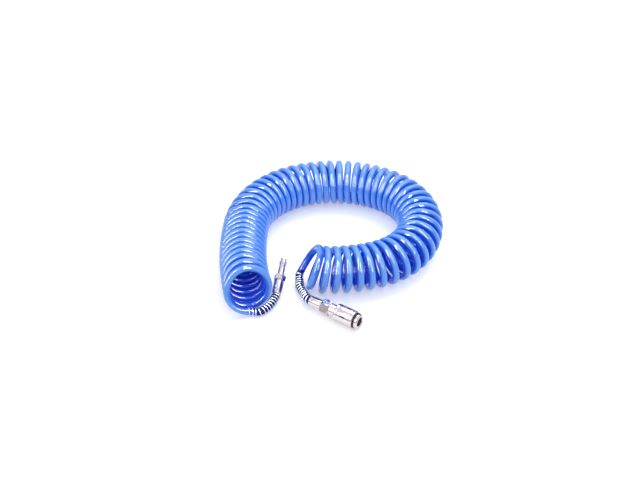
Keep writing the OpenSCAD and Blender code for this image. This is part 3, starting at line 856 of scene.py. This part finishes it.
class HOSE_OT_stage(bpy.types.Operator):
    """Sets up the camera, the lamps and the pale floor"""

    bl_idname = "air_hose.stage"
    bl_label = "Stage"

    def execute(self, context):
        _, _, finishes, stage = hose_settings(context)
        scene = context.scene
        scene.view_settings.view_transform = "Standard"
        middle = Vector((-19.5, -10.5, 33)) * MM
        data = bpy.data.cameras.new("Camera")
        data.lens, data.sensor_width = stage.lens, 36
        data.clip_end = 50
        camera = bpy.data.objects.new("Camera", data)
        back = Vector((0, -math.cos(stage.tilt), math.sin(stage.tilt)))
        camera.location = middle + back * stage.distance
        camera.rotation_euler = (math.pi / 2 - stage.tilt, 0, 0)
        scene.collection.objects.link(camera)
        scene.camera = camera

        world = bpy.data.worlds.new("Studio")
        scene.world = world
        world.use_nodes = True
        tree = world.node_tree
        tree.nodes.clear()
        seen = add(tree, "ShaderNodeLightPath")
        up = add(tree, "ShaderNodeTexCoord").outputs["Generated"]
        height = add(tree, "ShaderNodeSeparateXYZ", {"Vector": up}).outputs["Z"]
        # Dimmer near the horizon, as a room is, so that bright metal has tones to show
        fade = add(
            tree, "ShaderNodeMapRange",
            {"Value": height, "From Min": 0.0, "From Max": 0.8, "To Min": 0.3, "To Max": 1.0},
        )
        soft = add(
            tree, "ShaderNodeBackground",
            {"Color": fade.outputs["Result"], "Strength": stage.sky},
        )
        white = add(tree, "ShaderNodeBackground", {"Color": (1, 1, 1, 1), "Strength": 1.0})
        both = add(
            tree, "ShaderNodeMixShader",
            {0: seen.outputs["Is Camera Ray"], 1: soft.outputs[0], 2: white.outputs[0]},
        )
        add(tree, "ShaderNodeOutputWorld", {"Surface": both.outputs[0]})

        mesh = bpy.data.meshes.new("Floor")
        reach = 4
        mesh.from_pydata(
            [(-reach, -reach, 0), (reach, -reach, 0), (reach, reach, 0), (-reach, reach, 0)],
            [], [(0, 1, 2, 3)],
        )
        floor = bpy.data.objects.new("Floor", mesh)
        mesh.materials.append(pale_floor(finishes.floor))
        scene.collection.objects.link(floor)

        # One wide soft box overhead lights the scene. The tall ones, left and right of the
        # camera, are there for gloss alone: a strong pair on the hose and its guards, whose
        # skin mirrors little, and a soft pair on the fittings. Each row gives the way round
        # from the front and the height (degrees), the size (m) and the power (W).
        glossy = {key: bpy.data.collections.new(key) for key in (HOSE_GLOSS, METAL_GLOSS)}
        far, aim = 1.8, Vector((0, 0, 0.03))
        for name, turn_by, rise, size, power, on in (
            ("Top box", 150, 62, (1.6, 1.2), 14, None),
            ("Left box", -56, 40, (0.45, 2.2), 95, HOSE_GLOSS),
            ("Right box", 28, 44, (0.4, 2.2), 90, HOSE_GLOSS),
            ("Left card", -56, 40, (0.6, 1.6), 5, METAL_GLOSS),
            ("Right card", 28, 44, (0.5, 1.6), 5, METAL_GLOSS),
        ):
            place = far * Vector(
                (sine(turn_by) * cosine(rise), -cosine(turn_by) * cosine(rise), sine(rise))
            )
            lamp = bpy.data.lights.new(name, "AREA")
            lamp.shape, lamp.size, lamp.size_y = "RECTANGLE", *size
            lamp.energy = power * stage.lamps
            obj = bpy.data.objects.new(name, lamp)
            obj.location = place
            if on:
                obj.visible_diffuse = False
                obj.light_linking.receiver_collection = glossy[on]
            obj.rotation_euler = (aim - place).to_track_quat("-Z", "Y").to_euler()
            scene.collection.objects.link(obj)
        return {"FINISHED"}


class HOSE_OT_hose(bpy.types.Operator):
    """Makes the hose: the coil and both free ends, one unbroken tube"""

    bl_idname = "air_hose.hose"
    bl_label = "Hose"

    def execute(self, context):
        sizes, fittings, finishes, _ = hose_settings(context)
        path = whole_route(sizes, fittings.grip)
        skin = finish(
            "Polyurethane, extruded", polyurethane,
            finishes.hose, finishes.turn_shade, finishes.inner, finishes.guard_curl_shade,
        )
        light = route_light(sizes, fittings.grip)
        mesh = bpy.data.meshes.new("route")
        mesh.from_pydata(path, [(k, k + 1) for k in range(len(path) - 1)], [])
        open_to = mesh.attributes.new("open_side", "FLOAT_VECTOR", "POINT")
        open_to.data.foreach_set("vector", [c for way_out, _ in light for c in way_out])
        shaded = mesh.attributes.new("shade", "FLOAT", "POINT")
        shaded.data.foreach_set("value", [dark for _, dark in light])
        route = bpy.data.objects.new("route", mesh)
        context.scene.collection.objects.link(route)
        made = grow(
            route, hose_tree(),
            {"Diameter": sizes.hose, "Sides": sizes.sides, "Material": skin},
        )
        link(
            made, "hose", skin, "hose_blue", ROOT,
            "hose_coil", "hose_tail_plug", "hose_tail_coupler",
        )
        return {"FINISHED"}


class HOSE_OT_cord(bpy.types.Operator):
    bl_idname = "air_hose.cord"
    bl_label = "Cord"

    def execute(self, context):
        sizes, fittings, _, _ = hose_settings(context)
        path = whole_route(sizes, fittings.grip)
        return {"FINISHED"}


class HOSE_OT_guards(bpy.types.Operator):
    """Winds the wire guards round both ends of the hose"""

    bl_idname = "air_hose.guards"
    bl_label = "Wire guards"

    def execute(self, context):
        sizes, fittings, finishes, _ = hose_settings(context)
        _, (plug_tail, coupler_tail) = hose_routes(sizes, fittings.grip)
        wire = finish("Spring wire, plated", drawn_metal, finishes.wire, 0.26, 400.0)
        tree = winding_tree()
        for tail, reach, curls, name in (
            (plug_tail, sizes.plug_guard, sizes.plug_curls, "plug_spring_guard"),
            (coupler_tail, sizes.coupler_guard, sizes.coupler_curls, "coupler_spring_guard"),
        ):
            points = list(reversed(tail[0]))
            kept, run = [points[0]], 0.0
            for a, b in zip(points, points[1:]):
                step = (b - a).length
                if run + step >= reach:
                    kept.append(a.lerp(b, (reach - run) / step))
                    break
                kept.append(b)
                run += step
            made = grow(
                curve_object("route", kept), tree,
                {
                    "Curls": float(curls), "Wire": sizes.wire, "Material": wire,
                    "Radius": sizes.hose / 2 + sizes.gap + sizes.wire / 2, "Steps": 28,
                },
            )
            link(made, name + "_wire", wire, "guard_wire", ROOT, name)
        return {"FINISHED"}


class HOSE_OT_nuts(bpy.types.Operator):
    """Turns the two clamp nuts"""

    bl_idname = "air_hose.nuts"
    bl_label = "Clamp nuts"

    def execute(self, context):
        _, fittings, finishes, _ = hose_settings(context)
        r = fittings.nut / 2 / MM
        grip = fittings.grip / MM
        for name, node, on, place, long in (
            ("plug_nut", "plug_clamp_nut", "plug", ON_PLUG, 21.7),
            ("coupler_nut", "coupler_clamp_nut", "coupler", ON_COUPLER, 19.7),
        ):
            section = mm(
                (0, 5.25), (0, r - 0.9), (0.9, r), (1.9, r), (2.2, r - 0.3), (2.5, r),
                (long - 2.5, r), (long - 2.2, r - 0.3), (long - 1.9, r), (long - 0.7, r),
                (long, r - 0.7), (long, 5.7), (grip, 5.7), (grip - 0.2, 5.25),
            )
            made = turned_mesh(eased(section, 0.12 * MM), place, fittings.facets)
            link(made, name, plate(on, finishes), "plated_brass", ROOT, node)
        return {"FINISHED"}


class HOSE_OT_plug(bpy.types.Operator):
    """Makes the plug: stem, hexagon, neck, locking collar and tip"""

    bl_idname = "air_hose.plug"
    bl_label = "Plug"

    def execute(self, context):
        _, fittings, finishes, _ = hose_settings(context)
        air, stem = fittings.air / 2 / MM, fittings.stem / 2 / MM
        neck, collar, tip = (x / 2 / MM for x in (fittings.neck, fittings.collar, fittings.tip))
        rear = eased(
            mm(
                (4, air), (4, stem - 0.5), (7.6, stem), (8, stem - 0.3), (11.6, stem),
                (12, stem), (12, 5.6), (22, 5.6),
            ),
            0.08 * MM,
        )[:-4] + mm((22, 5.6))
        front = eased(
            mm(
                (30, 5.4), (30.6, 5.4), (31, neck), (48.8, neck), (49.1, collar),
                (51.0, collar), (51.4, collar - 0.4), (51.4, tip), (56.4, tip),
                (57, tip - 0.6), (57, air + 0.5), (56.5, air),
            ),
            0.15 * MM,
        )
        rows = rear + hexagon_rows(fittings.plug_hex, 22 * MM, 30 * MM) + front
        made = turned_mesh(rows, ON_PLUG, fittings.facets)
        link(made, "plug", plate("plug", finishes), "plated_steel", ROOT, "plug_body")
        return {"FINISHED"}


class HOSE_OT_coupler_body(bpy.types.Operator):
    """Makes the coupler's body with its ball holes, the tail piece and the nose ring"""

    bl_idname = "air_hose.coupler_body"
    bl_label = "Coupler body"

    def execute(self, context):
        _, fittings, finishes, _ = hose_settings(context)
        skin = plate("coupler", finishes)
        facets = fittings.facets
        air, stem = fittings.air / 2 / MM, fittings.stem / 2 / MM
        barrel, body, mouth = (
            x / 2 / MM for x in (fittings.barrel, fittings.body, fittings.mouth)
        )
        tail = mm(
            (4, air), (4, stem - 0.5), (7.6, stem), (8, stem - 0.3), (12, stem), (12, 5.6),
            (20, 5.6), (20, 7.6), (20.5, 7.6), (20.5, 6.8), (29.5, 6.8), (29.5, 5.2),
            (31.5, 5.2), (31.5, 6.8), (33.1, 6.8), (33.5, 6.4), (33.5, air),
        )
        made = turned_mesh(eased(tail, 0.08 * MM), ON_COUPLER, facets)
        link(made, "tail_piece", skin, "plated_brass", ROOT, "coupler_tail_piece")

        outer = eased(
            mm(
                (33, barrel), (47, barrel), (47, body), (72.15, body), (72.15, body - 0.5),
                (74.25, body - 0.5), (74.25, body), (79, body), (79, mouth + 0.9),
                (78.2, mouth), (64.45, mouth), (64.45, mouth - 0.3), (56.8, mouth - 0.3),
                (56.8, 4.35), (55.2, 4.35), (55.2, 6), (52.6, 6), (52.6, 4.35), (51, 4.35),
                (51, 6.5), (34, 6.5), (34, 6.9), (20.5, 6.9),
            ),
            0.1 * MM,
        )
        rows = hexagon_rows(fittings.body_hex, 20.5 * MM, 33 * MM) + outer
        made = turned_mesh(rows, ON_COUPLER, facets)
        on_side = Matrix.Rotation(math.pi / 2, 4, "Y")
        holes = [
            rod(1.82 * MM, 3 * MM, 8 * MM, ball_place(k, 0) @ on_side) for k in range(BALLS)
        ]
        made = cut_away(made, holes)
        link(made, "coupler", skin, "plated_brass", ROOT, "coupler_body")

        nose = fittings.nose / 2 / MM
        ring = mm(
            (74.4, body + 0.02), (74.4, nose - 0.6), (75, nose), (78, nose), (79.2, nose - 1.2),
            (79.2, body + 0.4), (78.9, body + 0.02),
        )
        made = turned_mesh(eased(ring, 0.15 * MM), ON_COUPLER, facets)
        link(made, "nose_ring", skin, "plated_brass", ROOT, "coupler_nose_ring")
        return {"FINISHED"}


class HOSE_OT_sleeve(bpy.types.Operator):
    """Makes the release sleeve and the dark ring that keeps it on"""

    bl_idname = "air_hose.sleeve"
    bl_label = "Release sleeve"

    def execute(self, context):
        _, fittings, finishes, _ = hose_settings(context)
        r = fittings.sleeve / 2 / MM
        section = mm(
            (43, 8.57), (43, r - 1), (44, r), (47.2, r), (47.4, r - 0.25), (47.9, r - 0.25),
            (48.1, r), (66.9, r), (67.1, r - 0.25), (67.6, r - 0.25), (67.8, r), (71, r),
            (72, r - 1), (72, 9.97), (68.7, 9.97), (59.5, 7.93), (59.5, 7.47), (57, 7.47),
            (57, 9.6), (46, 9.6), (46, 8.57),
        )
        made = turned_mesh(eased(section, 0.15 * MM), ON_COUPLER, fittings.facets)
        oxide = finish("Steel, blackened", drawn_metal, finishes.oxide, 0.24, 700.0)
        # The slot is 1.2 mm wide, drawn at 1.7 mm so that it shows
        made = cut_away(made, [slot_block(r + 0.4, 2, 1.7, 8, 0.3)])
        skin = plate("coupler", finishes)
        link(made, "sleeve", skin, "plated_steel", "sleeve", "release_sleeve")
        # A dark block on the slot's floor is painted shade, standing in for the dark of the deep,
        # narrow slot
        grease = finish(
            "Grease, dried", drawn_metal, finishes.grease, 0.7, 900.0, metallic=0.0, grain=0.3
        )
        painted_slot_shade = slot_block(r - 0.5, 0.3, 1.68, 7.96, 0.06)
        link(painted_slot_shade, "slot_floor", grease, "black_steel", "sleeve")

        ring = fittings.ring / 2 / MM
        dark = mm((72.2, 6.95), (72.2, ring), (74.2, ring), (74.2, 6.95))
        made = turned_mesh(eased(dark, 0.3 * MM), ON_COUPLER, fittings.facets)
        link(made, "retaining_ring", oxide, "black_steel", ROOT, "sleeve_retaining_ring")
        return {"FINISHED"}


class HOSE_OT_lock(bpy.types.Operator):
    """Polishes the six locking balls"""

    bl_idname = "air_hose.lock"
    bl_label = "Locking balls"

    def execute(self, context):
        _, fittings, finishes, _ = hose_settings(context)
        polished = finish(
            "Bearing steel, polished", drawn_metal, finishes.nickel, 0.07, 300.0, grain=0.02
        )
        for k in range(BALLS):
            shape = bmesh.new()
            bmesh.ops.create_icosphere(
                shape, subdivisions=4, radius=fittings.ball / 2, matrix=ball_place(k, BALL_OUT)
            )
            for face in shape.faces:
                face.smooth = True
            link(
                as_object("ball", shape), f"ball_{k + 1}_polished", polished, "ball_steel",
                f"ball_{k + 1}", f"locking_ball_{k + 1}",
            )
        return {"FINISHED"}


class HOSE_OT_valve(bpy.types.Operator):
    """Makes the valve's springs and the rubber rings, and gives the poppet and its seal their
    brass and rubber
    """

    bl_idname = "air_hose.valve"
    bl_label = "Valve and seals"

    def execute(self, context):
        _, fittings, finishes, _ = hose_settings(context)
        brass = finish("Brass, turned", drawn_metal, finishes.brass, 0.22, 500.0)
        rubber = finish("Nitrile rubber, moulded", nitrile, finishes.rubber)
        steel = finish("Spring wire, drawn", drawn_metal, finishes.steel, 0.3, 500.0)
        tree = winding_tree()
        # Each spring's joint and its travel, then ends, radius and wire (mm), and curls
        for name, node, joint, travel, z0, z1, r, wire, curls in (
            (
                "sleeve_return_spring", "sleeve_spring", "sleeve_slide", 4.5,
                47.5, 56.5, 8.2, 0.7, 6,
            ),
            (
                "poppet_return_spring", "valve_spring", "valve_slide", 4,
                34, 43.2, 3.8, 0.6, 6,
            ),
        ):
            line = [
                ON_COUPLER @ (Vector((0, 0, z0 + (z1 - z0) * k / 8)) * MM) for k in range(9)
            ]
            made = grow(
                curve_object("line", line), tree,
                {
                    "Curls": float(curls), "Wire": wire * MM, "Radius": r * MM, "Steps": 28,
                    "Material": steel,
                },
            )
            link(made, name, steel, "spring_steel", ROOT, node)
            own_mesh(made)

        # Rubber rings of 1.6 mm: mean radius, place along the coupler (mm)
        cord, round_cord, round_ring = 0.8, 20, 96
        tip = fittings.tip / 2 / MM
        for name, node, mean, z in (
            ("mouth_ring", "plug_seal", tip + 0.92, 53.9), ("body_ring", "body_seal", 6.05, 30.5)
        ):
            angles = [math.tau * k / round_cord for k in range(round_cord)]
            rows = mm(*((z + cord * math.sin(a), mean - cord * math.cos(a)) for a in angles))
            made = turned_mesh(rows, ON_COUPLER, round_ring)
            link(made, name, rubber, "seal_rubber", ROOT, node)

        for node in ("valve_poppet", "poppet_seal"):
            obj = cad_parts[node]
            obj.data.materials.clear()
            obj.data.materials.append(brass if node == "valve_poppet" else rubber)
        return {"FINISHED"}


STEPS = (
    HOSE_OT_stage, HOSE_OT_hose, HOSE_OT_guards, HOSE_OT_nuts, HOSE_OT_plug,
    HOSE_OT_coupler_body, HOSE_OT_sleeve, HOSE_OT_lock, HOSE_OT_valve, HOSE_OT_cord,
)


class HOSE_PT_panel(bpy.types.Panel):
    """Sizes, colours and steps of the coiled air hose"""

    bl_label = "Coiled Air Hose"
    bl_idname = "HOSE_PT_panel"
    bl_space_type = "VIEW_3D"
    bl_region_type = "UI"
    bl_category = "Air Hose"

    def draw(self, context):
        for group in hose_settings(context):
            box = self.layout.box()
            for key in group.__annotations__:
                box.prop(group, key)
        for step in STEPS:
            self.layout.operator(step.bl_idname)


GROUPS = (HoseSizes, FittingSizes, Finishes, StageSettings)
CLASSES = (*GROUPS, *STEPS, HOSE_PT_panel)


def register():
    for cls in CLASSES:
        bpy.utils.register_class(cls)
    scene = bpy.types.Scene
    scene.hose_sizes = PointerProperty(type=HoseSizes)
    scene.fitting_sizes = PointerProperty(type=FittingSizes)
    scene.hose_finishes = PointerProperty(type=Finishes)
    scene.hose_stage = PointerProperty(type=StageSettings)


def unregister():
    for key in ("hose_sizes", "fitting_sizes", "hose_finishes", "hose_stage"):
        delattr(bpy.types.Scene, key)
    for cls in reversed(CLASSES):
        bpy.utils.unregister_class(cls)


def main():
    register()
    for step in STEPS:
        group, name = step.bl_idname.split(".")
        getattr(getattr(bpy.ops, group), name)()


if __name__ == "__main__":
    main()
